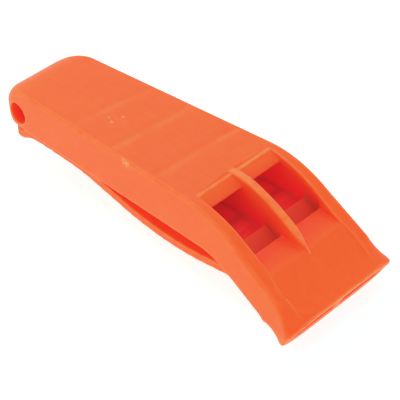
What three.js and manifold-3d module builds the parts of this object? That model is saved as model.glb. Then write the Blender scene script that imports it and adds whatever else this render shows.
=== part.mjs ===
// Flat training whistle without a pea: two sound chambers side by side, a
// mouthpiece bent down and flared, a lanyard eye at the tail and a spring clip
// under the body.
//
// Frame: +X from the tail to the mouthpiece, +Z out of the flat top, Y across.
// Shapes are drawn with x = 0 just inside the tail and z = 0 on the flat
// underside, then the whole whistle is shifted to put its origin under its middle.

import * as THREE from 'three';
import { mergeVertices } from 'three/addons/utils/BufferGeometryUtils.js';
import Module from 'manifold-3d';

const wasm = await Module();
wasm.setup();

// ---- driving dimensions, millimetres and degrees ----
const TAIL = -1.3;                // end of the tail
const LENGTH = 76.4;              // the upper lip
const THICKNESS = 8.9;            // flat part of the body
const TAIL_HALF_WIDTH = 8.4;      // half width at the tail, before rounding
const WIDENING = 0.0565;          // half width gained per millimetre of length
const EDGE_RADIUS = { body: 0.6, rails: 0.9 }; // rounding along the upper long edges
const LOWER_EDGE_RADIUS = 0.5;
const CORNER_RADIUS = 4.3;        // corners of the tail, seen from above
const NOSE = { level: 3.7, over: 8.8, under: 4.0 }; // rounding of the tail, side view
const TAIL_EDGES = { upper: 2.2, lower: 1.2, length: 8 }; // extra rounding at the tail
const CROWN = 0.3;                // gentle rise across the top at the ridge

const TOP_BEND = { start: 49.5, radius: 22, angle: 33.5 };
const LOWER_BEND = { start: 52.5, radius: 14.5, angle: 28.9 };
const END_LEAN = 3.0;             // the mouth end leans forward at the top

const FLARE_START = 71.4;
const FLARE = { width: 1.9, power: 2.0 }; // extra half width towards the lips
const LIP_CORNER_RADIUS = 1.0;    // corners of the lips, seen from above
const LIP_CORNER_THICKNESS = 1.2;
const LIP_CORNER_REACH = 0.15;    // corners stand forward of the upper lip
const LOWER_LIP_REACH = 0.4;      // the lower lip's middle stands forward
const TOE = { depth: 0.4, start: 69.6, end: 71.4 }; // knuckle under each side at the seam

const WALL = 1.5;
const SIDE_WALL = 1.9;
const DIVIDER = 1.6;              // rib between the windows and the chambers
const SEAM = 0.06;                // line between the shell and the base plate

const RIDGE = 51.0;               // where the top drops to the sound edges
const WINDOW = { back: 53.65, front: 62.75, half: 9.2 };
const EDGE_HEIGHT = 7.65;         // top of the sound edge
const SILL_HEIGHT = 1.8;          // top of the window's front edge
const SILL_END = 67.9;            // where the front scoop meets the panel

const CHAMBER_BACK = [13.5, 18.5]; // the two chambers sound different notes
const CHAMBER_TOP = 7.25;
const WINDWAY = { slope: -0.72, height: 1.2, roof: 0.95, blockEnd: 59.2, end: 66.2 };
const MOUTH = { roof: -0.4, floor: -0.65 }; // slopes of the mouth channels

const EYE = { x: 3.9, z: 3.4, radius: 2.2 };
const CLIP = { thickness: 1.6, inset: 1.5, flex: 0.2 };

const ORANGE = 0xf2713f;
const DEG = Math.PI / 180;

// ---- the outside lines of the body ----
function bent(x, level, bend) {
  // Height of a line that is flat, turns down along an arc, then runs straight.
  const turn = bend.angle * DEG;
  const arcEnd = bend.start + bend.radius * Math.sin(turn);
  if (x <= bend.start) return level;
  if (x < arcEnd) {
    const along = x - bend.start;
    return level - bend.radius + Math.sqrt(bend.radius ** 2 - along ** 2);
  }
  const arcDrop = bend.radius * (1 - Math.cos(turn));
  return level - arcDrop - (x - arcEnd) * Math.tan(turn);
}

const topLine = (x) => bent(x, THICKNESS, TOP_BEND);
const underLine = (x) => bent(x, 0, LOWER_BEND);
const halfWidth = (x) => TAIL_HALF_WIDTH + WIDENING * x;

function smooth(x, from, to) {
  const t = Math.min(1, Math.max(0, (x - from) / (to - from)));
  return t * t * (3 - 2 * t);
}

// One cross-section of the body, given where it meets the upper line.
function station(x) {
  const lean = END_LEAN * Math.max(0, (x - 55) / (LENGTH - 55));
  const fromTail = x - TAIL;
  const back = Math.max(0, CORNER_RADIUS - fromTail);
  const ahead = Math.max(0, x - (LENGTH - LIP_CORNER_RADIUS));
  const rounded = (radius, past) => radius - Math.sqrt(radius ** 2 - past ** 2);
  const cornerCut = rounded(CORNER_RADIUS, back) + rounded(LIP_CORNER_RADIUS, ahead);
  const flare = Math.max(0, (x - FLARE_START) / (LENGTH - FLARE_START));
  const round = (length) => Math.sqrt(1 - Math.max(0, 1 - fromTail / length) ** 2);
  const soft = 1 - smooth(fromTail, 0, TAIL_EDGES.length);
  const top = new THREE.Vector2(x, topLine(x));
  const under = new THREE.Vector2(x - lean, underLine(x - lean));
  if (fromTail < NOSE.over) top.y = NOSE.level + (THICKNESS - NOSE.level) * round(NOSE.over);
  if (fromTail < NOSE.under) under.y = NOSE.level * (1 - round(NOSE.under));
  return {
    x,
    top,
    under,
    half: halfWidth(x) - cornerCut + FLARE.width * flare ** FLARE.power,
    height: top.distanceTo(under),
    upperRadius: EDGE_RADIUS.body + TAIL_EDGES.upper * soft
      + (EDGE_RADIUS.rails - EDGE_RADIUS.body) * smooth(x, 52, 64),
    lowerRadius: LOWER_EDGE_RADIUS + TAIL_EDGES.lower * soft,
    flare,
    crown: CROWN * smooth(x, 36, RIDGE) * (1 - smooth(x, 53, 58)),
    toe: TOE.depth * smooth(x, TOE.start, TOE.end - 0.6) * (1 - smooth(x, TOE.end - 0.5, TOE.end)),
  };
}

// Corner points of a section: an ellipse quarter at each of its four corners.
function outline(s, inset) {
  const half = s.half - inset.side;
  const height = s.height - 2 * inset.wall;
  const blend = s.flare;
  const edge = LIP_CORNER_THICKNESS - (inset.wall > 0 ? 0.7 : 0);
  const deep = Math.max(0.05, (height - Math.max(0.2, edge)) / 2);
  const along = (radius) => radius + (0.6 * half - radius) * blend ** 1.3;
  const upDown = (radius) => Math.min(radius + (deep - radius) * blend, height * 0.45);
  const points = [];
  const corners = [[1, 1], [-1, 1], [-1, -1], [1, -1]];
  corners.forEach(([sideways, upward], index) => {
    const radius = upward > 0 ? s.upperRadius : s.lowerRadius;
    const rx = along(radius);
    const rz = upDown(radius);
    const steps = 4;
    for (let i = 0; i <= steps; i += 1) {
      const turn = (index + i / steps) * 90 * DEG;
      points.push([
        sideways * (half - rx) + rx * Math.cos(turn),
        upward * (height / 2 - rz) + rz * Math.sin(turn),
      ]);
    }
    if (index === 0) {
      for (const part of [0.5, 0, -0.5]) points.push([part * (half - rx), height / 2]);
    }
  });
  return points.map(([y, z]) => {
    const share = z / height + 0.5;
    const arch = z > 0 ? s.crown * (1 - Math.abs(y / half) ** 1.7) : -s.toe * (y / half) ** 8;
    const at = new THREE.Vector2().lerpVectors(s.under, s.top, 0.5);
    const up = new THREE.Vector2().subVectors(s.top, s.under).normalize();
    at.addScaledVector(up, z);
    const side = (y / s.half) ** 2;
    const lip = LIP_CORNER_REACH * side + (z < 0 ? LOWER_LIP_REACH * (1 - side ** 2) : 0);
    const reach = lip * smooth(s.x, 72, LENGTH);
    const draft = 0.25 * (1 - share);
    return new THREE.Vector3(
      at.x + reach * up.y,
      y * (1 - draft / s.half),
      at.y + arch - reach * up.x,
    );
  });
}

// ---- shape helpers ----
function solidOf(geometry) {
  const bare = geometry.clone();
  bare.deleteAttribute('normal');
  bare.deleteAttribute('uv');
  const merged = mergeVertices(bare, 1e-5);
  return new wasm.Manifold(new wasm.Mesh({
    numProp: 3,
    vertProperties: new Float32Array(merged.attributes.position.array),
    triVerts: new Uint32Array(merged.index.array),
  }));
}

function geometryOf(solid) {
  const mesh = solid.getMesh();
  const geometry = new THREE.BufferGeometry();
  geometry.setAttribute('position', new THREE.BufferAttribute(mesh.vertProperties, 3));
  geometry.setIndex(new THREE.BufferAttribute(mesh.triVerts, 1));
  geometry.computeVertexNormals();
  return geometry;
}

// Skin over a row of closed outlines that all have the same number of points.
function loft(rings) {
  const count = rings[0].length;
  const positions = rings.flat().flatMap((p) => [p.x, p.y, p.z]);
  const triangles = [];
  for (let ring = 0; ring < rings.length - 1; ring += 1) {
    for (let i = 0; i < count; i += 1) {
      const a = ring * count + i;
      const b = ring * count + ((i + 1) % count);
      triangles.push(a, b, a + count, b, b + count, a + count);
    }
  }
  const last = (rings.length - 1) * count;
  for (let i = 1; i < count - 1; i += 1) {
    triangles.push(0, i + 1, i);
    triangles.push(last, last + i, last + i + 1);
  }
  const geometry = new THREE.BufferGeometry();
  geometry.setAttribute('position', new THREE.Float32BufferAttribute(positions, 3));
  geometry.setIndex(triangles);
  return solidOf(geometry);
}

// A side view, points (x, z), pushed across from y0 to y1.
function acrossFrom(points, y0, y1) {
  const shape = new THREE.Shape(points.map(([x, z]) => new THREE.Vector2(x, z)));
  const geometry = new THREE.ExtrudeGeometry(shape, { depth: y1 - y0, bevelEnabled: false });
  geometry.rotateX(90 * DEG);
  geometry.translate(0, y1, 0);
  return solidOf(geometry);
}

// A plan view, points (x, y), raised from z0 to z1.
function upFrom(points, z0, z1) {
  const shape = new THREE.Shape(points.map(([x, y]) => new THREE.Vector2(x, y)));
  const geometry = new THREE.ExtrudeGeometry(shape, { depth: z1 - z0, bevelEnabled: false });
  geometry.translate(0, 0, z0);
  return solidOf(geometry);
}

function taperedPlan(x0, x1, inset, grow = 0) {
  const a = halfWidth(x0) - inset + grow;
  const b = halfWidth(x1) - inset + grow;
  return upFrom([[x0 - grow, -a], [x1 + grow, -b], [x1 + grow, b], [x0 - grow, a]], -20, 20);
}

function samples(from, to, count) {
  return Array.from({ length: count + 1 }, (_, i) => from + ((to - from) * i) / count);
}

// ---- the whole outside, before it is hollowed and split ----
function stationPlaces() {
  const nose = [5, 20, 34, 48, 64, 78, 90]
    .map((turn) => TAIL + NOSE.over * (1 - Math.cos(turn * DEG)));
  const body = [20, 36, 41, 46, TOP_BEND.start];
  const bend = samples(51.3, 61.6, 6);
  const toe = [66, TOE.start, 70.2, TOE.end - 0.6, TOE.end];
  const mouth = [...toe, 72.8, 74, 75, 75.4, 75.8, 76.1, 76.3, LENGTH];
  return [...nose, ...body, ...bend, ...mouth];
}

function outside() {
  return loft(stationPlaces().map((x) => outline(station(x), { side: 0, wall: 0 })));
}

// The room inside the walls, run on past the lips so that it cuts them open.
function insideRoom() {
  const places = [...samples(9, 49, 4), ...samples(52, 62, 5), 66, 69, 71.4, 72.8, 74, 75, LENGTH];
  const rings = places.map((x) => outline(station(x), { side: SIDE_WALL, wall: WALL - 0.2 }));
  const end = rings[rings.length - 1];
  rings.push(end.map((p) => new THREE.Vector3(p.x + 2, p.y, p.z - 1.25)));
  return loft(rings);
}

// ---- lines of the air passages, in side view ----
const windwayRoof = (x) => WINDWAY.roof + WINDWAY.slope * (x - WINDOW.front);
const windwayFloor = (x) => windwayRoof(x) - WINDWAY.height;

function floorLine() {
  // Top of the base plate from the tail to the lips.
  const straight = [[9.5, WALL], [52.5, WALL]];
  const bend = samples(54, 58.2, 4).map((x) => [x, underLine(x) + WALL]);
  return [
    ...straight,
    ...bend,
    [WINDWAY.blockEnd, windwayFloor(WINDWAY.blockEnd)],
    [WINDWAY.end, windwayFloor(WINDWAY.end)],
    [LENGTH + 4, windwayFloor(WINDWAY.end) + MOUTH.floor * (LENGTH + 4 - WINDWAY.end)],
  ];
}

function passage(side) {
  // Air space of one side: chamber, windway and mouth channel.
  const chamberBack = CHAMBER_BACK[side > 0 ? 0 : 1];
  const roof = [
    [LENGTH + 4, windwayRoof(WINDWAY.end) + MOUTH.roof * (LENGTH + 4 - WINDWAY.end)],
    [WINDWAY.end, windwayRoof(WINDWAY.end)],
    [WINDOW.front, windwayRoof(WINDOW.front)],
    [WINDOW.front, 3.4],
    [WINDOW.back, CHAMBER_TOP],
    [chamberBack, CHAMBER_TOP],
  ];
  const floor = floorLine().slice(1).map(([x, z]) => [x, z - 0.01]);
  const profile = [[chamberBack, WALL - 0.01], ...floor, ...roof];
  const near = side > 0 ? DIVIDER / 2 : -16;
  return acrossFrom(profile, near, near + 16 - DIVIDER / 2).intersect(insideRoomSolid);
}

// ---- the base plate's share of the whistle ----
function lowerShare(grow) {
  const lift = floorLine().map(([x, z]) => [x - (x < 10 ? grow : 0), z + grow]);
  const below = [[LENGTH + 4, -20], [9.5 - grow, -20]];
  const middle = acrossFrom([...lift, ...below], -20, 20)
    .intersect(taperedPlan(9.5, LENGTH + 4, 1.45, grow));
  const end = station(LENGTH);
  const corner = [(end.top.x + end.under.x) / 2, (end.top.y + end.under.y) / 2];
  const slope = -0.55;
  const seamStart = 69.0;
  const skirt = acrossFrom([
    [seamStart - grow, -20],
    [seamStart - grow, underLine(seamStart) + 0.4 + grow],
    [corner[0] + LIP_CORNER_REACH, corner[1] + slope * LIP_CORNER_REACH + grow],
    [LENGTH + 4, corner[1] + slope * (LENGTH + 4 - corner[0]) + grow],
    [LENGTH + 4, -20],
  ], -20, 20);
  return middle.add(skirt);
}

// ---- the three pieces ----
const outsideSolid = outside();
const insideRoomSolid = insideRoom();
const airSpace = passage(1).add(passage(-1));

function windows() {
  const cut = (y0, y1) => acrossFrom([
    [WINDOW.back, 2], [WINDOW.front, 0.6], [WINDOW.front, 12], [WINDOW.back, 12],
  ], y0, y1);
  return cut(DIVIDER / 2, WINDOW.half).add(cut(-WINDOW.half, -DIVIDER / 2));
}

function scoop() {
  // Drops from the ridge to the sound edges, and from the sill to the panel.
  const fall = (EDGE_HEIGHT - THICKNESS + 0.1) / (WINDOW.back - RIDGE);
  return acrossFrom([
    [RIDGE - 3, THICKNESS - 0.1 - 3 * fall],
    [WINDOW.back, EDGE_HEIGHT],
    [WINDOW.front, SILL_HEIGHT],
    [SILL_END, topLine(SILL_END)],
    [SILL_END, 14],
    [RIDGE - 3, 14],
  ], -WINDOW.half, WINDOW.half);
}

function rib() {
  // Fin between the windows: it stands proud of the side rails and runs down to
  // a point on the panel.
  const crest = [
    [49.9, 9.0], [51.4, 9.4], [53.4, 9.35], [55.4, 8.95], [57.6, 8.15], [60.1, 7.0],
    [62.3, 5.75], [64.5, 4.35], [66.4, 2.95], [67.7, 1.75], [68.7, 0.55],
  ];
  const root = [[68.7, 0.2], [66.5, 1.0], [WINDOW.front, 1.2], [60, 3], [54, 6.9], [50.3, 8.0]];
  const slab = acrossFrom([...crest, ...root], -DIVIDER / 2, DIVIDER / 2);
  const point = upFrom([
    [50, -DIVIDER / 2], [65.5, -DIVIDER / 2], [67.6, -0.55], [68.8, -0.15],
    [68.8, 0.15], [67.6, 0.55], [65.5, DIVIDER / 2], [50, DIVIDER / 2],
  ], -5, 15);
  return slab.intersect(point);
}

function lanyardEye() {
  const geometry = new THREE.CylinderGeometry(EYE.radius, EYE.radius, 30, 28);
  geometry.translate(EYE.x, 0, EYE.z);
  return solidOf(geometry);
}

function bodyShell() {
  return outsideSolid
    .subtract(lowerShare(SEAM))
    .subtract(airSpace)
    .subtract(scoop())
    .subtract(windows())
    .add(rib())
    .subtract(lanyardEye());
}

// Hinge line of the clip: where its root meets the base plate.
const hinge = { x: 60.2, z: -2.65 };

function clipSeat() {
  // Round hollow in the base plate that the clip's root turns in.
  const geometry = new THREE.CylinderGeometry(
    CLIP.thickness / 2 + CLIP.flex, CLIP.thickness / 2 + CLIP.flex, 40, 28,
  );
  geometry.translate(hinge.x, 0, hinge.z);
  return solidOf(geometry);
}

function basePlate() {
  return outsideSolid
    .intersect(lowerShare(0))
    .subtract(airSpace)
    .subtract(clipSeat());
}

function clipLine() {
  // Lower face of the clip, from the tip to the root.
  return new THREE.CatmullRomCurve3([
    [1.3, -3.2], [3.4, -3.2], [5.8, -2.2], [9.5, -1.85], [15, -1.85], [20.7, -2.1],
    [28, -3.35], [35, -4.6], [43, -5.2], [50, -4.9], [56, -4.05],
    [hinge.x, hinge.z - CLIP.thickness / 2],
  ].map(([x, z]) => new THREE.Vector3(x, 0, z)), false, 'centripetal');
}

function pocketClip() {
  const half = CLIP.thickness / 2;
  const lower = clipLine().getPoints(34).map((p) => [p.x, p.z]);
  const normals = lower.map((_, i) => {
    const a = lower[Math.max(0, i - 1)];
    const b = lower[Math.min(lower.length - 1, i + 1)];
    const run = Math.hypot(b[0] - a[0], b[1] - a[1]);
    return [-(b[1] - a[1]) / run, (b[0] - a[0]) / run];
  });
  const upper = lower.map(([x, z], i) => [
    x + normals[i][0] * CLIP.thickness, z + normals[i][1] * CLIP.thickness,
  ]);
  const cap = (centre, from, to, steps) => samples(from, to, steps).slice(1, -1)
    .map((angle) => [centre[0] + half * Math.cos(angle * DEG), centre[1] + half * Math.sin(angle * DEG)]);
  const tip = [(lower[0][0] + upper[0][0]) / 2, (lower[0][1] + upper[0][1]) / 2];
  const last = lower.length - 1;
  const root = [(lower[last][0] + upper[last][0]) / 2, (lower[last][1] + upper[last][1]) / 2];
  const profile = [
    ...lower, ...cap(root, -90, 90, 6), ...upper.reverse(), ...cap(tip, 90, 270, 6),
  ];
  const a = halfWidth(2) - CLIP.inset;
  const b = halfWidth(62) - CLIP.inset;
  const r = 2.5;
  const tipCorner = samples(0, 90, 4).map((angle) => [
    0.3 + r * (1 - Math.cos(angle * DEG)), -a + r * (1 - Math.sin(angle * DEG)),
  ]);
  const plan = [...tipCorner, [64, -b], [64, b], ...tipCorner.map(([x, y]) => [x, -y]).reverse()];
  return acrossFrom(profile, -16, 16).intersect(upFrom(plan, -10, 5));
}

// ---- assembly ----
const whistle = new THREE.Group();
whistle.name = 'training_whistle';

function place(name, solid, color, roughness) {
  const material = new THREE.MeshStandardMaterial({ color, roughness, metalness: 0 });
  const mesh = new THREE.Mesh(geometryOf(solid), material);
  mesh.name = name;
  whistle.add(mesh);
}

place('body_shell', bodyShell(), ORANGE, 0.45);
place('base_plate', basePlate(), ORANGE, 0.45);
place('pocket_clip', pocketClip(), ORANGE, 0.45);

const box = new THREE.Box3().setFromObject(whistle);
whistle.position.set(-(box.min.x + box.max.x) / 2, 0, -box.min.z);
whistle.updateMatrixWorld(true);

export default whistle;
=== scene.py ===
"""Orange training whistle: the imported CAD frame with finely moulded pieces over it.

Shapes are drawn in millimetres in the whistle's own drawing frame: x from the tail
to the lips, y across, z up from the flat underside. finished() turns each into a
piece in metres in the row frame.
"""
import math

import bpy
import numpy as np
from mathutils import Matrix, Vector


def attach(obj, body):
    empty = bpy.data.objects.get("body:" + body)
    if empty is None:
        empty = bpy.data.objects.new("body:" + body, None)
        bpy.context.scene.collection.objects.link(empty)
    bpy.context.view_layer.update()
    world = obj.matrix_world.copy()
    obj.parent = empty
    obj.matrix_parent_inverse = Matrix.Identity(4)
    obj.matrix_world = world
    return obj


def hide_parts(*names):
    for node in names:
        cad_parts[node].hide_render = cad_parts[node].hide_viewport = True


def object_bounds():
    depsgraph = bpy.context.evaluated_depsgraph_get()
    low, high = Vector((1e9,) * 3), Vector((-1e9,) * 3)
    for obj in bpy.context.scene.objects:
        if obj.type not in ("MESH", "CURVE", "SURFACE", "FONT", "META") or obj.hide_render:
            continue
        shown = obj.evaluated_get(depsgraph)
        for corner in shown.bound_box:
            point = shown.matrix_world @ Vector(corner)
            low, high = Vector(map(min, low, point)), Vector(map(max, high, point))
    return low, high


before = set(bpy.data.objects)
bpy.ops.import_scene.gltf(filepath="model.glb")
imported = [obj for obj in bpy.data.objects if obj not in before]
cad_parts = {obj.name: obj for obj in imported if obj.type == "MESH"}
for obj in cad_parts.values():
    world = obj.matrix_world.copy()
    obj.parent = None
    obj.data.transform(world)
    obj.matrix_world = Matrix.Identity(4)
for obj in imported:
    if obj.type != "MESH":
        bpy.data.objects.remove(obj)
cad_low, cad_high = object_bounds()

MM = 0.001
RAD = math.pi / 180

# ---- the body's outside lines, millimetres and degrees ----
TAIL = -1.3
LENGTH = 76.4
THICKNESS = 8.9
TAIL_HALF_WIDTH = 8.4
WIDENING = 0.0565
UPPER_EDGE, RAIL_EDGE, LOWER_EDGE = 0.6, 0.9, 0.5
RAIL_START, RAIL_FULL = 52, 64      # where the upper edge grows into the rails
CORNER_RADIUS = 4.3
NOSE_LEVEL, NOSE_OVER, NOSE_UNDER = 3.7, 8.8, 4.0
TAIL_SOFT_UPPER, TAIL_SOFT_LOWER, TAIL_SOFT_LENGTH = 2.2, 1.2, 8.0
DRAFT = 0.25                        # how much narrower the body is at its underside
CROWN, CROWN_POWER = 0.3, 1.7       # slight arch of the top behind the windows
CROWN_START, CROWN_FADE = 36, (53, 58)
TOP_BEND = (49.5, 22.0, 33.5)       # start, radius, angle
LOWER_BEND = (52.5, 14.5, 28.9)
END_LEAN, LEAN_START = 3.0, 55      # how far the cross-sections lean back at the lips
FLARE_START, FLARE, FLARE_POWER = 71.4, 1.9, 2.0
LIP_ROUND_SHARE, LIP_ROUND_POWER = 0.6, 1.3
LIP_CORNER_RADIUS = 1.0
LIP_CORNER_THICKNESS, INNER_CORNER_LOSS = 1.2, 0.7
LIP_CORNER_REACH, LOWER_LIP_REACH, REACH_START = 0.15, 0.4, 72
TOE_DEPTH, TOE_START, TOE_END = 0.4, 69.6, 71.4   # knuckle under each side at the seam
TOE_POWER, TOE_DROP = 8, 0.6
LIP_PLANE = (0.52, 4.53, 0.855)     # slope parts and level of the plane of the lips

# ---- openings and walls ----
WALL, SIDE_WALL, DIVIDER, SEAM = 1.5, 1.9, 1.6, 0.06
BEDDING = 0.25                      # the shell's inner walls sink into the base plate
PLATE_START, PLATE_INSET, BEND_END = 9.5, 1.45, 58.2
SEAM_START, SEAM_RISE, SEAM_SLOPE = 69.0, 0.4, -0.55
RIDGE = 51.0
WINDOW_BACK, WINDOW_FRONT, WINDOW_HALF = 53.65, 62.75, 9.2
WINDOW_BACK_FLOOR, WINDOW_FRONT_FLOOR, WINDOW_FRONT_STEP = 2, 0.6, 3.4
EDGE_HEIGHT, SILL_HEIGHT, SILL_END = 7.65, 1.8, 67.9
RIDGE_DROP = 0.1                    # the scoop starts this far under the top's plane
CHAMBER_BACKS = (13.5, 18.5)        # +Y side, -Y side
CHAMBER_TOP = 7.25
WINDWAY_SLOPE, WINDWAY_HEIGHT, WINDWAY_ROOF = -0.72, 1.2, 0.95
BLOCK_END, PASSAGE_END = 59.2, 66.2
MOUTH_ROOF, MOUTH_FLOOR = -0.4, -0.65   # slopes of the mouth channels
EYE_X, EYE_Z, EYE_RADIUS = 3.9, 3.4, 2.2
FIN_TOP = 9.4
FIN_CREST = (
    (49.9, 9.0), (51.4, 9.38), (53.4, 9.32), (55.4, 8.95), (57.6, 8.15), (60.1, 7.0),
    (62.3, 5.75), (64.5, 4.35), (66.4, 2.95), (67.7, 1.75), (68.7, 0.55),
)
FIN_ROOT = (
    (49.9, 8.0), (54, 6.9), (60, 3.0), (WINDOW_FRONT, 1.2), (66.5, 1.0), (68.7, 0.2),
)
FIN_TAPER, FIN_TAPER_START, FIN_TAPER_END = 0.82, 65.2, 68.9
FIN_EDGE = 0.5

# ---- reach of the cutting solids, well clear of the body ----
PAST_LIPS = LENGTH + 4
ABOVE, BESIDE, BELOW = 14, 20, -20
LAP = 0.01                          # cuts run this far past a shared face

# ---- the clip ----
CLIP_THICKNESS, CLIP_INSET = 1.6, 1.4
CLIP_CORNER = 2.5
HINGE_X, HINGE_Z = 60.2, -2.65
SEAT_RADIUS = 0.87
CLIP_UNDERSIDE = (
    (1.3, -3.2), (3.4, -3.2), (5.8, -2.2), (9.5, -1.85), (15, -1.85), (20.7, -2.1),
    (28, -3.35), (35, -4.6), (43, -5.2), (50, -4.9), (56, -4.05),
    (HINGE_X, HINGE_Z - CLIP_THICKNESS / 2),
)

# Drawing frame to row frame: the tail's end and the fin's top are the CAD's limits.
SHIFT = Vector((cad_low.x / MM - TAIL, 0.0, cad_high.z / MM - FIN_TOP))

# ---- marks of moulding and use on the top, and painted highlights beside the sink lines ----
SINK_LINES = ((20.7, 0.13), (30.6, 0.08), (41.8, 0.05))    # place at the middle, slant
SINK, SINK_WIDTH, SWAY = 0.12, 0.8, 0.03
# painted highlight on the far side of each sink line: offset, width, share of the edge mark
SINK_HIGHLIGHT_OFFSET, SINK_HIGHLIGHT_WIDTH, SINK_HIGHLIGHT_SHARE = 1.0, 0.6, 0.3
RIDGE_BEAD, RIDGE_BEAD_WIDTH = 0.06, 0.2
PANEL_EDGE_X = (65.7, 67.8, 69.4, 71.5, 76.6)
PANEL_EDGE_Y = (9.2, 9.45, 9.7, 9.75, 9.4)
PANEL_DEPTH, PANEL_END, PANEL_FADE = 0.25, 75.7, 2.0
CREASES = (
    ((70.9, -11.2), (73.1, -10.9)), ((73.6, -9.9), (75.9, -9.1)), ((69.8, -9.9), (71.7, -10.1)),
)
CREASE, CREASE_WIDTH = 0.2, 0.25
SCUFFS = (
    ((23.1, -2.9), (23.4, -3.1)), ((24.4, -3.7), (24.9, -3.8)), ((25.0, -1.2), (25.3, -1.3)),
    ((33.8, -10.0), (35.6, -10.45)), ((34.3, -10.3), (35.2, -10.6)),
)
SCUFF, SCUFF_WIDTH = 0.06, 0.2

# ---- colours, as linear red, green, blue ----
ORANGE, ORANGE_DEEP, ORANGE_PALE = (0.97, 0.15, 0.008), (0.96, 0.13, 0.006), (0.98, 0.20, 0.025)
# The first colour is a painted highlight along convex edges, the ridge, the rib, the lip and the
# sink lines' far sides; the second is the pale of real scuffs.
EDGE_HIGHLIGHT, SCUFFED = (1.0, 0.36, 0.09), (1.0, 0.48, 0.20)
# Painted shade: the first two reds deepen the openings and the third dulls the blocks beside the
# windways; the shares below follow depth in the openings.
OPENING_SHADE_WARM, OPENING_SHADE_DEEP, BLOCK_SHADE_RED = (0.97, 0.05, 0.003), (0.97, 0.03, 0.03), (0.52, 0.075, 0.012)
OPENING_SHADE_WARM_SHARES = ((0.0, 0.0), (0.04, 0.3), (0.25, 0.65), (0.8, 0.8))
OPENING_SHADE_DEEP_SHARES = ((0.0, 0.0), (0.4, 0.1), (0.7, 0.75), (0.95, 1.0))
EDGE_STEP = 0.05                    # relief in millimetres that counts as a full edge
EDGE_ROUNDS = 9                     # rounds of blurring that the relief is measured from
EDGE_START, EDGE_LIMIT = 0.15, 0.6
# Shares of the painted edge highlight, of the real scuffs, and of the painted shade on the blocks.
EDGE_HIGHLIGHT_SHARE, SCUFFED_SHARE, BLOCK_SHADE_SHARE = 0.9, 0.9, 0.75
STREAK_SHARE, STREAK_STRETCH = 0.22, (0.35, 1.6, 1.0)

# ---- the plastic's surface: scale and detail of each noise, and what it drives ----
CLOUDS, STREAKS, PATCHES, SPECKS = (90, 3), (900, 4), (500, 3), (2600, 2)
SHEEN, GRAIN, WAVES = (1400, 4), (3800, 5), (260, 2)
ROUGHNESS, WORN_ROUGHNESS = (0.40, 0.54), -0.10
GRAIN_BUMP, WAVE_BUMP = (0.35, 0.00002), (0.5, 0.00005)     # strength, height in metres
SPECULAR = 0.28
LIGHT_THROUGH, THROUGH_REACH, THROUGH_SCALE = 0.7, (1.0, 0.18, 0.08), 0.0025

# ---- camera and light ----
CAMERA_SPOT, CAMERA_TURN, CAMERA_LENS = (207.652, -170.729, 185.583), (51.728, 0.947, 43.25), 151.76
SKY_LIGHT, HORIZON_LIGHT = (0.5, 0.5, 0.5), (1.2, 1.0, 1.0)
FLOOR_TONE, FLOOR_GLOW = (0.4, 0.4, 0.4), (1.25, 0.84, 0.84)
KEY_SPOT, KEY_SIZE, KEY_POWER = (-0.35, 0.10, 0.65), 0.7, 3.0
FILL_SPOT, FILL_SIZE, FILL_POWER = (-0.10, -0.65, 0.35), 0.5, 0.3
RED_CURVE = ((0.1, 0.28), (0.3, 0.57), (0.6, 0.79), (0.8, 0.875), (1.0, 0.915))
SHADE_LIFT = (0.0, 0.010, 0.012)    # red, green and blue of the deepest shade

# ---- fineness of the pieces ----
VOXEL = 0.15
CORNER_STEPS, TOP_STEPS, BORE_STEPS = 10, 14, 72
SHELL_FACES, BASE_FACES, CLIP_FACES = 190_000, 90_000, 60_000


# =============================== outside lines ===============================
def bent(x, level, bend):
    """Height of a line that is flat, turns down along an arc, then runs straight."""
    start, radius, angle = bend
    turn = angle * RAD
    arc_end = start + radius * math.sin(turn)
    along = np.clip(np.asarray(x, float) - start, 0, arc_end - start)
    arc = radius - np.sqrt(radius ** 2 - along ** 2)
    beyond = np.maximum(0, np.asarray(x, float) - arc_end)
    return level - arc - beyond * math.tan(turn)


def top_line(x):
    return bent(x, THICKNESS, TOP_BEND)


def under_line(x):
    return bent(x, 0.0, LOWER_BEND)


def half_width(x):
    return TAIL_HALF_WIDTH + WIDENING * x


def smooth(x, start, end):
    t = np.clip((x - start) / (end - start), 0, 1)
    return t * t * (3 - 2 * t)


def windway_roof(x):
    return WINDWAY_ROOF + WINDWAY_SLOPE * (x - WINDOW_FRONT)


def windway_floor(x):
    return windway_roof(x) - WINDWAY_HEIGHT


def rounded(radius, past):
    """How far a corner's arc has turned in, past its start."""
    return radius - math.sqrt(radius ** 2 - past ** 2)


def behind_lips(x, z):
    """Distance behind the slanting plane of the lips."""
    rise, level, run = LIP_PLANE
    return rise * (z + level) - run * (x - LENGTH)


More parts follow.
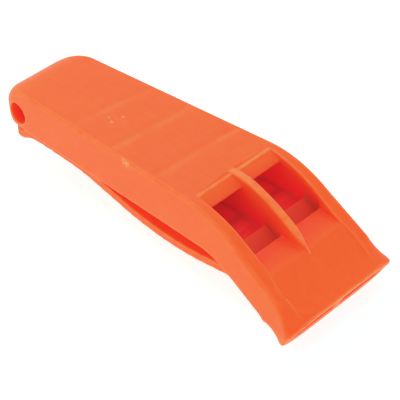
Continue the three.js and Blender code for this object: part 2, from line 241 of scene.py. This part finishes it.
def section(x, side=0.0, wall=0.0):
    """Points of one cross-section of the body, pulled in by side and wall."""
    lean = END_LEAN * max(0, (x - LEAN_START) / (LENGTH - LEAN_START))
    from_tail = x - TAIL
    back = max(0, CORNER_RADIUS - from_tail)
    ahead = max(0, x - (LENGTH - LIP_CORNER_RADIUS))
    corner_cut = rounded(CORNER_RADIUS, back) + rounded(LIP_CORNER_RADIUS, ahead)
    flare = max(0, (x - FLARE_START) / (LENGTH - FLARE_START))
    soft = 1 - smooth(from_tail, 0, TAIL_SOFT_LENGTH)
    top = np.array([x, top_line(x)])
    under = np.array([x - lean, under_line(x - lean)])
    if from_tail < NOSE_OVER:
        rise = math.sqrt(1 - (1 - from_tail / NOSE_OVER) ** 2)
        top[1] = NOSE_LEVEL + (THICKNESS - NOSE_LEVEL) * rise
    if from_tail < NOSE_UNDER:
        under[1] = NOSE_LEVEL * (1 - math.sqrt(1 - (1 - from_tail / NOSE_UNDER) ** 2))
    full_half = half_width(x) - corner_cut + FLARE * flare ** FLARE_POWER
    full_height = np.linalg.norm(top - under)
    half = full_half - side
    height = full_height - 2 * wall
    crown = CROWN * smooth(x, CROWN_START, RIDGE) * (1 - smooth(x, *CROWN_FADE))
    edge = LIP_CORNER_THICKNESS - (INNER_CORNER_LOSS if wall > 0 else 0)
    deep = max(0.05, (height - max(0.2, edge)) / 2)
    points = []
    for index, (sideways, upward) in enumerate(((1, 1), (-1, 1), (-1, -1), (1, -1))):
        radius = UPPER_EDGE + (RAIL_EDGE - UPPER_EDGE) * smooth(x, RAIL_START, RAIL_FULL)
        radius += TAIL_SOFT_UPPER * soft
        if upward < 0:
            radius = LOWER_EDGE + TAIL_SOFT_LOWER * soft
        across = radius + (LIP_ROUND_SHARE * half - radius) * flare ** LIP_ROUND_POWER
        upright = min(radius + (deep - radius) * flare, height * 0.45)
        for i in range(CORNER_STEPS + 1):
            turn = (index + i / CORNER_STEPS) * 90 * RAD
            points.append((
                sideways * (half - across) + across * math.cos(turn),
                upward * (height / 2 - upright) + upright * math.sin(turn),
            ))
        if index == 0:
            for part in np.linspace(1, -1, TOP_STEPS)[1:-1]:
                points.append((part * (half - across), height / 2))
    y, z = np.array(points).T
    share = z / height + 0.5
    toe = TOE_DEPTH * smooth(x, TOE_START, TOE_END - TOE_DROP)
    toe *= 1 - smooth(x, TOE_END - 0.5, TOE_END)
    outer = np.abs(y / half)
    arch = np.where(z > 0, crown * (1 - outer ** CROWN_POWER), -toe * outer ** TOE_POWER)
    up = (top - under) / full_height
    middle = (top + under) / 2
    outward = (y / full_half) ** 2
    lip = LIP_CORNER_REACH * outward + np.where(z < 0, LOWER_LIP_REACH * (1 - outward ** 2), 0)
    reach = lip * smooth(x, REACH_START, LENGTH)
    draft = DRAFT * (1 - share)
    return np.stack([
        middle[0] + z * up[0] + reach * up[1],
        y * (1 - draft / full_half),
        middle[1] + z * up[1] + arch - reach * up[0],
    ], axis=1)


# =============================== mesh helpers ================================
def new_object(name, points, faces):
    mesh = bpy.data.meshes.new(name)
    mesh.from_pydata([tuple(p) for p in points], [], faces)
    mesh.validate()
    piece = bpy.data.objects.new(name, mesh)
    bpy.context.scene.collection.objects.link(piece)
    return piece


def loft(name, rings):
    """Skin over a row of closed outlines that all have the same number of points."""
    count = len(rings[0])
    faces = []
    for ring in range(len(rings) - 1):
        for i in range(count):
            a = ring * count + i
            b = ring * count + (i + 1) % count
            faces.append((a, b, b + count, a + count))
    last = (len(rings) - 1) * count
    faces.append(tuple(reversed(range(count))))
    faces.append(tuple(range(last, last + count)))
    return new_object(name, np.concatenate(rings), faces)


def across(name, outline, y0, y1):
    """A side view, points (x, z) listed anticlockwise, pushed across from y0 to y1."""
    ring = np.array(outline, float)
    rings = [np.insert(ring, 1, y, axis=1) for y in (y1, y0)]
    return loft(name, rings)


def raised(name, outline, z0, z1):
    """A plan view, points (x, y) listed anticlockwise, raised from z0 to z1."""
    ring = np.array(outline, float)
    return loft(name, [np.insert(ring, 2, z, axis=1) for z in (z0, z1)])


def cylinder_across(name, x, z, radius):
    turns = np.arange(BORE_STEPS) * 2 * math.pi / BORE_STEPS
    ring = [(x + radius * math.cos(t), z + radius * math.sin(t)) for t in turns]
    return across(name, ring, -BESIDE, BESIDE)


def baked(piece):
    """Applies the piece's modifiers."""
    graph = bpy.context.evaluated_depsgraph_get()
    mesh = bpy.data.meshes.new_from_object(piece.evaluated_get(graph))
    piece.modifiers.clear()
    piece.data = mesh
    return piece


def combined(piece, operation, *others):
    """Cuts, joins or meets the piece with others, which are used up."""
    for other in others:
        change = piece.modifiers.new(operation, "BOOLEAN")
        change.solver = "MANIFOLD"
        change.operation = operation
        change.object = other
    baked(piece)
    for other in others:
        bpy.data.objects.remove(other)
    return piece


def minus(piece, *others):
    return combined(piece, "DIFFERENCE", *others)


def plus(piece, *others):
    return combined(piece, "UNION", *others)


def meet(piece, *others):
    return combined(piece, "INTERSECT", *others)


# ============================ the body's solids ==============================
def stations():
    """Places of the body's cross-sections, closest where its outline turns."""
    turns = np.linspace(3, 90, 26) * RAD
    nose = TAIL + NOSE_OVER * (1 - np.cos(turns))
    body = np.linspace(nose[-1], TOP_BEND[0], 16)[1:]
    bend = np.linspace(TOP_BEND[0], 62, 30)[1:]
    mouth = np.linspace(62, TOE_START, 6)[1:]
    toe = np.linspace(TOE_START, TOE_END, 10)[1:]
    flare = np.linspace(TOE_END, LENGTH - LIP_CORNER_RADIUS, 12)[1:]
    lips = LENGTH - LIP_CORNER_RADIUS * (1 - np.sin(np.linspace(0, 90, 12)[1:] * RAD))
    return np.concatenate([nose, body, bend, mouth, toe, flare, lips])


def outside():
    return loft("outside", [section(x) for x in stations()])


def inside_room():
    """The space inside the body's walls, open at the lips."""
    places = np.concatenate([
        np.linspace(9, 49, 6), np.linspace(50, 62, 14), np.linspace(63, LENGTH, 22),
    ])
    rings = [section(x, side=SIDE_WALL, wall=WALL - 0.2) for x in places]
    rings.append(rings[-1] + np.array([2.0, 0.0, -1.25]))
    return loft("room", rings)


def floor_line():
    """Top of the base plate from the tail to the lips."""
    bend = [(x, float(under_line(x)) + WALL) for x in np.linspace(LOWER_BEND[0], BEND_END, 12)]
    return [
        (PLATE_START, WALL),
        *bend,
        (BLOCK_END, windway_floor(BLOCK_END)),
        (PASSAGE_END, windway_floor(PASSAGE_END)),
        (PAST_LIPS, windway_floor(PASSAGE_END) + MOUTH_FLOOR * (PAST_LIPS - PASSAGE_END)),
    ]


def passage(side):
    """Air space of one side: chamber, windway and mouth channel."""
    back = CHAMBER_BACKS[0 if side > 0 else 1]
    roof = [
        (PAST_LIPS, windway_roof(PASSAGE_END) + MOUTH_ROOF * (PAST_LIPS - PASSAGE_END)),
        (PASSAGE_END, windway_roof(PASSAGE_END)),
        (WINDOW_FRONT, WINDWAY_ROOF),
        (WINDOW_FRONT, WINDOW_FRONT_STEP),
        (WINDOW_BACK, CHAMBER_TOP),
        (back, CHAMBER_TOP),
    ]
    floor = [(x, z - LAP) for x, z in floor_line()[1:]]
    inner, outer = DIVIDER / 2, 16
    limits = (inner, outer) if side > 0 else (-outer, -inner)
    space = across("passage", [(back, WALL - LAP), *floor, *roof], *limits)
    return meet(space, inside_room())


def lower_share(grow, rise):
    """The part of the outside that belongs to the base plate, grown all round by grow,
    with the top of its inner part raised by rise."""
    start, end = PLATE_START - grow, PAST_LIPS
    lift = [(x, z + rise) for x, z in floor_line()]
    lift[0] = (start, WALL + rise)
    outline = [(start, BELOW), (end, BELOW), *reversed(lift)]
    middle = across("share", outline, -BESIDE, BESIDE)
    a = half_width(PLATE_START) - PLATE_INSET + grow
    b = half_width(end) - PLATE_INSET + grow
    plan = [(start, -a), (end + grow, -b), (end + grow, b), (start, a)]
    meet(middle, raised("plan", plan, -30, 30))
    lean_end = LENGTH - END_LEAN
    corner_x = (LENGTH + lean_end) / 2
    corner_z = float(top_line(LENGTH) + under_line(lean_end)) / 2
    seam = SEAM_START - grow
    skirt = across("skirt", [
        (seam, BELOW),
        (end, BELOW),
        (end, corner_z + SEAM_SLOPE * (end - corner_x) + grow),
        (corner_x + LIP_CORNER_REACH, corner_z + SEAM_SLOPE * LIP_CORNER_REACH + grow),
        (seam, float(under_line(SEAM_START)) + SEAM_RISE + grow),
    ], -BESIDE - 0.5, BESIDE + 0.5)
    return plus(middle, skirt)


def windows():
    """The two openings from the chambers up through the top."""
    outline = [
        (WINDOW_BACK, WINDOW_BACK_FLOOR), (WINDOW_FRONT, WINDOW_FRONT_FLOOR),
        (WINDOW_FRONT, ABOVE - 2), (WINDOW_BACK, ABOVE - 2),
    ]
    left = across("window", outline, DIVIDER / 2, WINDOW_HALF)
    return plus(left, across("window", outline, -WINDOW_HALF, -DIVIDER / 2))


def scoop():
    """Drops from the ridge to the sound edges, and from the sill to the panel."""
    start, level = RIDGE - 3, THICKNESS - RIDGE_DROP
    fall = (EDGE_HEIGHT - level) / (WINDOW_BACK - RIDGE)
    return across("scoop", [
        (start, level + fall * (start - RIDGE)),
        (WINDOW_BACK, EDGE_HEIGHT),
        (WINDOW_FRONT, SILL_HEIGHT),
        (SILL_END, float(top_line(SILL_END)) - PANEL_DEPTH),
        (SILL_END, ABOVE),
        (start, ABOVE),
    ], -WINDOW_HALF, WINDOW_HALF)


def panel():
    """Shallow recess of the mouthpiece's top between its rails."""
    places = np.linspace(SILL_END - 0.3, PANEL_END, 24)
    depth = PANEL_DEPTH * (1 - smooth(places, PANEL_END - PANEL_FADE, PANEL_END))
    bottom = list(zip(places, top_line(places) - depth))
    side = across("panel", [*bottom, (PANEL_END, ABOVE), (places[0], ABOVE)], -14, 14)
    left = [(x, float(np.interp(x, PANEL_EDGE_X, PANEL_EDGE_Y))) for x in places]
    right = [(x, -y) for x, y in left]
    return meet(side, raised("plan", [*right, *reversed(left)], -20, 20))


def curve_through(points, count):
    """Smooth open curve through the points (centripetal Catmull-Rom)."""
    p = [np.array(q, float) for q in points]
    p = [2 * p[0] - p[1], *p, 2 * p[-1] - p[-2]]
    made = []
    for k in range(1, len(p) - 2):
        knots = [0.0]
        for i in range(3):
            knots.append(knots[-1] + np.linalg.norm(p[k + i] - p[k - 1 + i]) ** 0.5)
        t0, t1, t2, t3 = knots
        for t in np.linspace(t1, t2, count, endpoint=False):
            a1 = (t1 - t) / (t1 - t0) * p[k - 1] + (t - t0) / (t1 - t0) * p[k]
            a2 = (t2 - t) / (t2 - t1) * p[k] + (t - t1) / (t2 - t1) * p[k + 1]
            a3 = (t3 - t) / (t3 - t2) * p[k + 1] + (t - t2) / (t3 - t2) * p[k + 2]
            b1 = (t2 - t) / (t2 - t0) * a1 + (t - t0) / (t2 - t0) * a2
            b2 = (t3 - t) / (t3 - t1) * a2 + (t - t1) / (t3 - t1) * a3
            made.append((t2 - t) / (t2 - t1) * b1 + (t - t1) / (t2 - t1) * b2)
    made.append(p[-2])
    return np.array(made)


def fin():
    """Rib between the windows, round along its crest, down to a point on the panel."""
    crest = [(x, min(z, FIN_TOP)) for x, z in curve_through(FIN_CREST, 6)]
    rings = []
    for x, z in crest:
        half = DIVIDER / 2 * (1 - FIN_TAPER * smooth(x, FIN_TAPER_START, FIN_TAPER_END))
        low = min(float(np.interp(x, *zip(*FIN_ROOT))), z - 0.3)
        edge = min(FIN_EDGE, half * 0.9, (z - low) * 0.8)
        turns = np.linspace(0, 90, 7) * RAD
        right = [(half - edge + edge * math.cos(t), z - edge + edge * math.sin(t)) for t in turns]
        left = [(-y, h) for y, h in reversed(right)]
        ring = [(half, low), *right, *left, (-half, low)]
        rings.append(np.array([(x, y, h) for y, h in ring]))
    return loft("fin", rings)


# ============================== finishing off ================================
class Skin:
    """A fine even skin over a solid, whose points can be relaxed and then moved."""

    def __init__(self, piece):
        remesh = piece.modifiers.new("skin", "REMESH")
        remesh.mode = "VOXEL"
        remesh.voxel_size = VOXEL
        baked(piece)
        self.mesh = piece.data
        self.points = np.empty(len(self.mesh.vertices) * 3)
        self.mesh.vertices.foreach_get("co", self.points)
        self.points = self.points.reshape(-1, 3)
        edges = np.empty(len(self.mesh.edges) * 2, int)
        self.mesh.edges.foreach_get("vertices", edges)
        a, b = edges.reshape(-1, 2).T
        self.ends = np.concatenate([a, b])
        self.others = np.concatenate([b, a])
        self.touching = np.bincount(self.ends, minlength=len(self.points))

    def relaxed(self, points, rounds):
        """The points after each has been drawn towards its neighbours so many rounds."""
        points = points.copy()
        for turn in range(math.ceil(rounds.max())):
            mean = np.stack([
                np.bincount(self.ends, points[self.others, axis], len(points)) / self.touching
                for axis in range(3)
            ], axis=1)
            moving = np.clip(rounds - turn, 0, 1)[:, None]
            points += 0.5 * moving * (mean - points)
        return points

    def place(self, points):
        self.mesh.vertices.foreach_set("co", points.ravel())
        self.mesh.update()

    def normals(self):
        found = np.empty(len(self.points) * 3)
        self.mesh.vertex_normals.foreach_get("vector", found)
        return found.reshape(-1, 3)

    def note(self, name, values):
        """Stores one number for each point, for the material."""
        attribute = self.mesh.attributes.new(name, "FLOAT", "POINT")
        attribute.data.foreach_set("value", values.astype(np.float32))


# Also the mask of the painted shade in the openings, and what keeps the painted edge highlight out
# of them.
def recess(p):
    """How far inside the openings a point lies: 0 on the outside, 1 deep inside."""
    x, y, z = p.T
    below = top_line(x) - z
    above = z - under_line(x)
    inward = half_width(x) - np.abs(y)
    deep = smooth(below, 0.1, 6.0) * smooth(above, 0.5, 1.3) * smooth(inward, 1.2, 1.9)
    deep *= smooth(behind_lips(x, z), 0.3, 2.5) * smooth(x, 6, 9)
    eye = np.hypot(x - EYE_X, z - EYE_Z) - EYE_RADIUS
    bore = (1 - smooth(eye, 0.1, 0.4)) * smooth(inward, 0.6, 3.0)
    return np.maximum(deep, 0.4 * bore)


# The mask of the painted shade on the blocks.
def on_block(p):
    """1 on the blocks at the ends of the wind ways and on the walls beside them."""
    x, y, z = p.T
    along = smooth(x, BLOCK_END - 0.3, BLOCK_END)
    along *= 1 - smooth(x, WINDOW_FRONT - 0.1, WINDOW_FRONT)
    inside = smooth(half_width(x) - np.abs(y), 1.2, 1.9) * smooth(z, 0.0, 0.3)
    return along * inside * smooth(top_line(x) - z, 2.5, 4.0)


def crest_lines(p):
    """1 along the ridge behind the windows, the rib's back and the lip, 0 elsewhere: where a
    painted highlight goes.
    """
    x, y, z = p.T
    ridge = (1 - smooth(np.abs(x - RIDGE), 0.1, 0.35)) * (1 - smooth(np.abs(y), 9.2, 9.5))
    ridge *= smooth(z, THICKNESS - 0.7, THICKNESS - 0.4)
    below = np.interp(x, *zip(*FIN_CREST)) - z
    back = (1 - smooth(below, 0.15, 0.45)) * (1 - smooth(np.abs(y), 0.7, 0.9))
    start, tip = FIN_CREST[0][0], FIN_CREST[-1][0]
    back *= smooth(x, start, start + 0.6) * (1 - smooth(x, tip - 1.5, tip - 0.3))
    lip = 1 - smooth(behind_lips(x, z), 0.2, 0.6)
    lip *= 1 - smooth(top_line(x) - z, 0.3, 0.7)
    return np.maximum(np.maximum(ridge, 0.7 * back), 0.8 * lip)


def finished(piece, name, softness, shape, faces):
    """Gives a sharp solid moulded edges: a fine skin relaxed by softness(points), moved
    by shape(points, normals), thinned to a number of faces, in metres."""
    skin = Skin(piece)
    points = skin.relaxed(skin.points, softness(skin.points))
    skin.place(points)
    normals = skin.normals()
    # The edge mark is a painted highlight: paler along convex relief, the crest lines and the sink
    # lines' far sides, kept out of the openings.
    blurred = skin.relaxed(points, np.full(len(points), EDGE_ROUNDS))
    relief = ((points - blurred) * normals).sum(axis=1)
    highlight = np.clip(relief / EDGE_STEP - EDGE_START, 0, EDGE_LIMIT)
    highlight = np.max([highlight, crest_lines(points), SINK_HIGHLIGHT_SHARE * sink_highlight(points)], axis=0)
    # recess and block are masks for painted shade, in the openings and on the blocks.
    deep = recess(points)
    skin.note("edge", highlight * (1 - smooth(deep, 0.01, 0.05)))
    skin.note("scuff", scuffed(points))
    skin.note("recess", deep)
    skin.note("block", on_block(points))
    points = shape(points, normals)
    skin.place((points + np.array(SHIFT)) * MM)
    mesh = piece.data
    mesh.calc_loop_triangles()
    thin = piece.modifiers.new("thin", "DECIMATE")
    thin.ratio = min(1.0, faces / len(mesh.loop_triangles))
    baked(piece)
    piece.data.shade_smooth()
    piece.name = name
    piece.data.name = name
    return piece


# =============================== the pieces ==================================
def line_across(x, y, centre, slant, width):
    """1 along a line over the top, fading to 0 before and behind it."""
    return np.exp(-((x - centre - slant * y) / width) ** 2)


def stroke(p, start, end, width):
    """1 along a short straight mark on the surface, fading to 0 beside it."""
    a, b = np.array(start), np.array(end)
    run = b - a
    along = np.clip(((p[:, :2] - a) @ run) / (run @ run), 0, 1)
    aside = np.linalg.norm(p[:, :2] - a - along[:, None] * run, axis=1)
    return np.exp(-(aside / width) ** 2)


def scuffed(p):
    """1 on the small scuffs of the top face, 0 elsewhere."""
    marks = [stroke(p, start, end, SCUFF_WIDTH) for start, end in SCUFFS]
    return np.max(marks, axis=0) * (p[:, 2] > THICKNESS - 1)


def sink_highlight(p):
    """The far sides of the sink lines, painted a little paler here and there as a highlight."""
    x, y, z = p.T
    lines = [
        line_across(x, y, at + SINK_HIGHLIGHT_OFFSET, slant, SINK_HIGHLIGHT_WIDTH) * (0.6 + 0.4 * np.sin(0.55 * y + at))
        for at, slant in SINK_LINES
    ]
    return np.max(lines, axis=0) * (z > THICKNESS - 0.6) * (half_width(x) - np.abs(y) > 1)


def shell_softness(p):
    """Rounds of relaxing: few along the ridge, more at the lips, the eye and the ramp's end."""
    x, y, z = p.T
    rounds = np.full(len(p), 2.0)
    rounds += 2 * smooth(x, 74.8, 75.6)
    ridge = smooth(x, RIDGE - 1.2, RIDGE - 0.6) * (1 - smooth(x, 54, 54.6))
    rounds -= 1.2 * ridge * (1 - smooth(np.abs(y), 9.4, 9.8))
    ramp_end = 1 - smooth(np.abs(x - SILL_END), 1, 2.2)
    rounds += 30 * ramp_end * (1 - smooth(np.abs(y), 8.2, 8.8)) * smooth(np.abs(y), 1.0, 1.8)
    eye = np.abs(np.hypot(x - EYE_X, z - EYE_Z) - EYE_RADIUS)
    rounds += 3 * (1 - smooth(eye, 0.4, 1.0)) * smooth(np.abs(y), 6.0, 7.5)
    return rounds


def shell_shape(p, normals):
    """Marks on the top: sink lines, a bead on the ridge, gentle waves, scuffs, creases."""
    x, y, z = p.T
    upward = smooth(normals[:, 2], 0.5, 0.75)
    on_top = upward * (1 - smooth(np.abs(top_line(x) - z), 0.45, 0.7))
    inward = smooth(half_width(x) - np.abs(y), 0.6, 2.0)
    move = np.zeros(len(p))
    for centre, slant in SINK_LINES:
        move -= SINK * line_across(x, y, centre, slant, SINK_WIDTH) * inward
    between_rails = 1 - smooth(np.abs(y), 9.3, 9.6)
    move += RIDGE_BEAD * line_across(x, y, RIDGE, 0, RIDGE_BEAD_WIDTH) * between_rails
    flat = inward * smooth(x, 8, 14) * (1 - smooth(x, 44, 48))
    move -= SWAY * flat * (np.sin(x / 4.3 + 0.2 * y) + 0.6 * np.sin(0.9 * y - x / 6.0))
    move -= SCUFF * scuffed(p)
    on_lip = upward * (1 - smooth(top_line(x) - z, 1.2, 1.6))
    creases = np.max([stroke(p, start, end, CREASE_WIDTH) for start, end in CREASES], axis=0)
    return p + normals * (move * on_top - CREASE * creases * on_lip)[:, None]


def base_softness(p):
    return 2.0 + 2 * smooth(p[:, 0], 74.6, 75.4)


def plain_shape(p, normals):
    return p


def clip_softness(p):
    return np.full(len(p), 3.0)


def build_shell():
    cuts = [passage(1), passage(-1), scoop(), windows(), panel()]
    solid = minus(outside(), lower_share(SEAM, -BEDDING), *cuts)
    plus(solid, fin())
    minus(solid, cylinder_across("eye", EYE_X, EYE_Z, EYE_RADIUS))
    return finished(solid, "shell_moulding", shell_softness, shell_shape, SHELL_FACES)


def build_base():
    solid = meet(outside(), lower_share(0, 0))
    minus(solid, passage(1), passage(-1))
    minus(solid, cylinder_across("seat", HINGE_X, HINGE_Z, SEAT_RADIUS))
    return finished(solid, "base_moulding", base_softness, plain_shape, BASE_FACES)


def rounded_end(centre, radius, start, end):
    """Points of an arc from one angle to another, without its ends."""
    turns = np.linspace(start, end, 14)[1:-1] * RAD
    return [(centre[0] + radius * math.cos(t), centre[1] + radius * math.sin(t)) for t in turns]


def build_clip():
    lower = curve_through(CLIP_UNDERSIDE, 10)
    run = np.gradient(lower, axis=0)
    run /= np.linalg.norm(run, axis=1)[:, None]
    normal = np.stack([-run[:, 1], run[:, 0]], axis=1)
    upper = lower + CLIP_THICKNESS * normal
    radius = CLIP_THICKNESS / 2
    root = rounded_end((lower[-1] + upper[-1]) / 2, radius, -90, 90)
    tip = rounded_end((lower[0] + upper[0]) / 2, radius, 90, 270)
    solid = across("clip", [*lower, *root, *upper[::-1], *tip], -16, 16)
    a, b = half_width(2) - CLIP_INSET, half_width(62) - CLIP_INSET
    turns = np.linspace(0, 90, 12) * RAD
    right = [
        (0.3 + CLIP_CORNER * (1 - math.cos(t)), -a + CLIP_CORNER * (1 - math.sin(t)))
        for t in turns
    ]
    left = [(x, -y) for x, y in reversed(right)]
    plan = [*right, (64, -b), (64, b), *left]
    meet(solid, raised("plan", plan, -10, 5))
    return finished(solid, "clip_moulding", clip_softness, plain_shape, CLIP_FACES)


# ================================ material ===================================
MIX_INPUTS, MIX_OUTPUT = (0, 6, 7), 2     # the Mix node's factor, colours and colour result


def node(tree, kind, **settings):
    made = tree.nodes.new("ShaderNode" + kind)
    for name, value in settings.items():
        setattr(made, name, value)
    return made


def noise(tree, place, kind):
    """Noise of the given kind, a scale per metre and a level of detail."""
    scale, detail = kind
    made = node(tree, "TexNoise")
    made.inputs["Scale"].default_value = scale
    made.inputs["Detail"].default_value = detail
    tree.links.new(place, made.inputs["Vector"])
    return made.outputs["Fac"]


def ramp(tree, value, stops):
    """Grey ramp through (position, level) stops."""
    made = node(tree, "ValToRGB")
    elements = made.color_ramp.elements
    while len(elements) < len(stops):
        elements.new(0.5)
    for element, (position, level) in zip(elements, stops):
        element.position = position
        element.color = (level, level, level, 1)
    tree.links.new(value, made.inputs["Fac"])
    return made.outputs["Color"]


def ranged(tree, value, low, high, to_low, to_high):
    """Stretches low to high onto to_low to to_high, and stops at the ends."""
    made = node(tree, "MapRange")
    made.inputs["From Min"].default_value = low
    made.inputs["From Max"].default_value = high
    made.inputs["To Min"].default_value = to_low
    made.inputs["To Max"].default_value = to_high
    tree.links.new(value, made.inputs["Value"])
    return made.outputs["Result"]


def mixed(tree, share, a, b):
    """Mixes a share of colour b into colour a. A colour may be a link or plain numbers."""
    made = node(tree, "Mix", data_type="RGBA")
    share_input, *colour_inputs = [made.inputs[place] for place in MIX_INPUTS]
    tree.links.new(share, share_input)
    for colour_input, colour in zip(colour_inputs, (a, b)):
        if isinstance(colour, bpy.types.NodeSocket):
            tree.links.new(colour, colour_input)
        else:
            colour_input.default_value = (*colour, 1)
    return made.outputs[MIX_OUTPUT]


def combined_value(tree, operation, a, b):
    """a and b put together by a sum or product. b may be a link or a plain number."""
    made = node(tree, "Math", operation=operation)
    tree.links.new(a, made.inputs[0])
    if isinstance(b, bpy.types.NodeSocket):
        tree.links.new(b, made.inputs[1])
    else:
        made.inputs[1].default_value = b
    return made.outputs[0]


def times(tree, a, b):
    return combined_value(tree, "MULTIPLY", a, b)


def bumped(tree, height, bump, under=None):
    """Normal that follows height, over an earlier normal. bump is strength and height."""
    made = node(tree, "Bump")
    made.inputs["Strength"].default_value, made.inputs["Distance"].default_value = bump
    tree.links.new(height, made.inputs["Height"])
    if under:
        tree.links.new(under, made.inputs["Normal"])
    return made.outputs["Normal"]


def plastic(name, offset):
    """Satin moulded orange plastic: cloudy colour, fine grain, a painted highlight of paler edges,
    and painted shade: a deeper red in the openings, where light passes through the plastic several
    times, and a duller red on the blocks."""
    material = bpy.data.materials.new(name)
    material.use_nodes = True
    tree = material.node_tree
    shader = tree.nodes["Principled BSDF"]
    texture = node(tree, "TexCoord")
    moved = node(tree, "VectorMath", operation="ADD")
    moved.inputs[1].default_value = (offset, offset, offset)
    tree.links.new(texture.outputs["Object"], moved.inputs[0])
    place = moved.outputs["Vector"]
    edge, deep, scuff, block = [
        node(tree, "Attribute", attribute_name=name).outputs["Fac"]
        for name in ("edge", "recess", "scuff", "block")
    ]

    clouds = ranged(tree, noise(tree, place, CLOUDS), 0.3, 0.7, 0, 1)
    colour = mixed(tree, clouds, ORANGE_DEEP, ORANGE)
    stretched = node(tree, "Mapping")
    stretched.inputs["Scale"].default_value = STREAK_STRETCH
    tree.links.new(place, stretched.inputs["Vector"])
    streaks = noise(tree, stretched.outputs["Vector"], STREAKS)
    streaks = ranged(tree, streaks, 0.35, 0.65, 0, STREAK_SHARE)
    colour = mixed(tree, streaks, colour, ORANGE_PALE)
    # Painted shade: a warmer then a deeper red in the openings, and a duller red on the blocks.
    colour = mixed(tree, ramp(tree, deep, OPENING_SHADE_WARM_SHARES), colour, OPENING_SHADE_WARM)
    colour = mixed(tree, ramp(tree, deep, OPENING_SHADE_DEEP_SHARES), colour, OPENING_SHADE_DEEP)
    colour = mixed(tree, times(tree, block, BLOCK_SHADE_SHARE), colour, BLOCK_SHADE_RED)
    # Painted highlight: paler edges, broken into patches.
    patchy = ranged(tree, noise(tree, place, PATCHES), 0.3, 0.6, 0.45, 1.0)
    highlight = times(tree, times(tree, edge, patchy), EDGE_HIGHLIGHT_SHARE)
    colour = mixed(tree, highlight, colour, EDGE_HIGHLIGHT)
    speckled = ranged(tree, noise(tree, place, SPECKS), 0.42, 0.58, 0, 1)
    scratched = times(tree, times(tree, scuff, speckled), SCUFFED_SHARE)
    colour = mixed(tree, scratched, colour, SCUFFED)
    tree.links.new(colour, shader.inputs["Base Color"])

    rough = ranged(tree, noise(tree, place, SHEEN), 0.3, 0.7, *ROUGHNESS)
    polished = ranged(tree, edge, 0, 1, 0.0, WORN_ROUGHNESS)
    rough = combined_value(tree, "ADD", rough, polished)
    tree.links.new(rough, shader.inputs["Roughness"])

    grain = bumped(tree, noise(tree, place, GRAIN), GRAIN_BUMP)
    waves = bumped(tree, noise(tree, place, WAVES), WAVE_BUMP, grain)
    tree.links.new(waves, shader.inputs["Normal"])

    shader.inputs["Specular IOR Level"].default_value = SPECULAR
    shader.inputs["Subsurface Weight"].default_value = LIGHT_THROUGH
    shader.inputs["Subsurface Radius"].default_value = THROUGH_REACH
    shader.inputs["Subsurface Scale"].default_value = THROUGH_SCALE
    return material


def assemble():
    """Builds every piece, gives it its plastic and ties it to the CAD's frame."""
    for build, body, cad_node, part, offset in (
        (build_shell, "body", "body_shell", "shell", 0.0),
        (build_base, "body", "base_plate", "base", 0.3),
        (build_clip, "clip", "pocket_clip", "clip", 0.6),
    ):
        piece = build()
        piece.data.materials.clear()
        piece.data.materials.append(plastic("orange_" + part, offset))
        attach(piece, body)
        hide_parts(cad_node)


assemble()

# ============================ camera and studio ==============================
scene = bpy.context.scene
camera = bpy.data.objects.new("camera", bpy.data.cameras.new("camera"))
scene.collection.objects.link(camera)
camera.location = (Vector(CAMERA_SPOT) + SHIFT) * MM
camera.rotation_euler = [angle * RAD for angle in CAMERA_TURN]
camera.data.sensor_width = 36.0
camera.data.lens = CAMERA_LENS
camera.data.clip_start = 0.01
camera.data.clip_end = 20.0
scene.camera = camera


def studio_world():
    """Soft white surroundings, warmest and brightest at the horizon."""
    world = bpy.data.worlds.new("studio")
    world.use_nodes = True
    tree = world.node_tree
    split = node(tree, "SeparateXYZ")
    tree.links.new(node(tree, "TexCoord").outputs["Generated"], split.inputs[0])
    height = ranged(tree, split.outputs["Z"], 0.02, 0.30, 0, 1)
    horizon = node(tree, "RGB").outputs[0]
    horizon.default_value = (*HORIZON_LIGHT, 1)
    light = mixed(tree, height, horizon, SKY_LIGHT)
    tree.links.new(light, tree.nodes["Background"].inputs["Color"])
    tree.nodes["Background"].inputs["Strength"].default_value = 1.0
    scene.world = world


def floor():
    """Plain white floor with a little light of its own, which keeps shadows faint."""
    bpy.ops.mesh.primitive_plane_add(size=6.0)
    plane = bpy.context.object
    plane.name = "floor"
    white = bpy.data.materials.new("floor")
    white.use_nodes = True
    shader = white.node_tree.nodes["Principled BSDF"]
    shader.inputs["Base Color"].default_value = (*FLOOR_TONE, 1)
    shader.inputs["Roughness"].default_value = 0.9
    shader.inputs["Emission Color"].default_value = (*FLOOR_GLOW, 1)
    shader.inputs["Emission Strength"].default_value = 1.0
    plane.data.materials.append(white)


def softbox(name, spot, size, power):
    """Square lamp, metres from the whistle, that faces it."""
    light = bpy.data.lights.new(name, "AREA")
    light.shape = "SQUARE"
    light.size = size
    light.energy = power
    lamp = bpy.data.objects.new(name, light)
    lamp.location = spot
    lamp.rotation_mode = "QUATERNION"
    lamp.rotation_quaternion = (-Vector(spot)).to_track_quat("-Z", "Y")
    scene.collection.objects.link(lamp)


def tone():
    """Plain colours, with red lifted in the shade and held back in full light."""
    view = scene.view_settings
    view.view_transform = "Standard"
    view.use_curve_mapping = True
    curves = view.curve_mapping.curves
    for level, shown in RED_CURVE[:-1]:
        curves[0].points.new(level, shown)
    curves[0].points[-1].location = RED_CURVE[-1]
    for curve, lift in zip(curves, SHADE_LIFT):
        curve.points[0].location = (0.0, lift)
    view.curve_mapping.use_clip = False
    view.curve_mapping.update()


studio_world()
floor()
softbox("key", KEY_SPOT, KEY_SIZE, KEY_POWER)
softbox("fill", FILL_SPOT, FILL_SIZE, FILL_POWER)
tone()
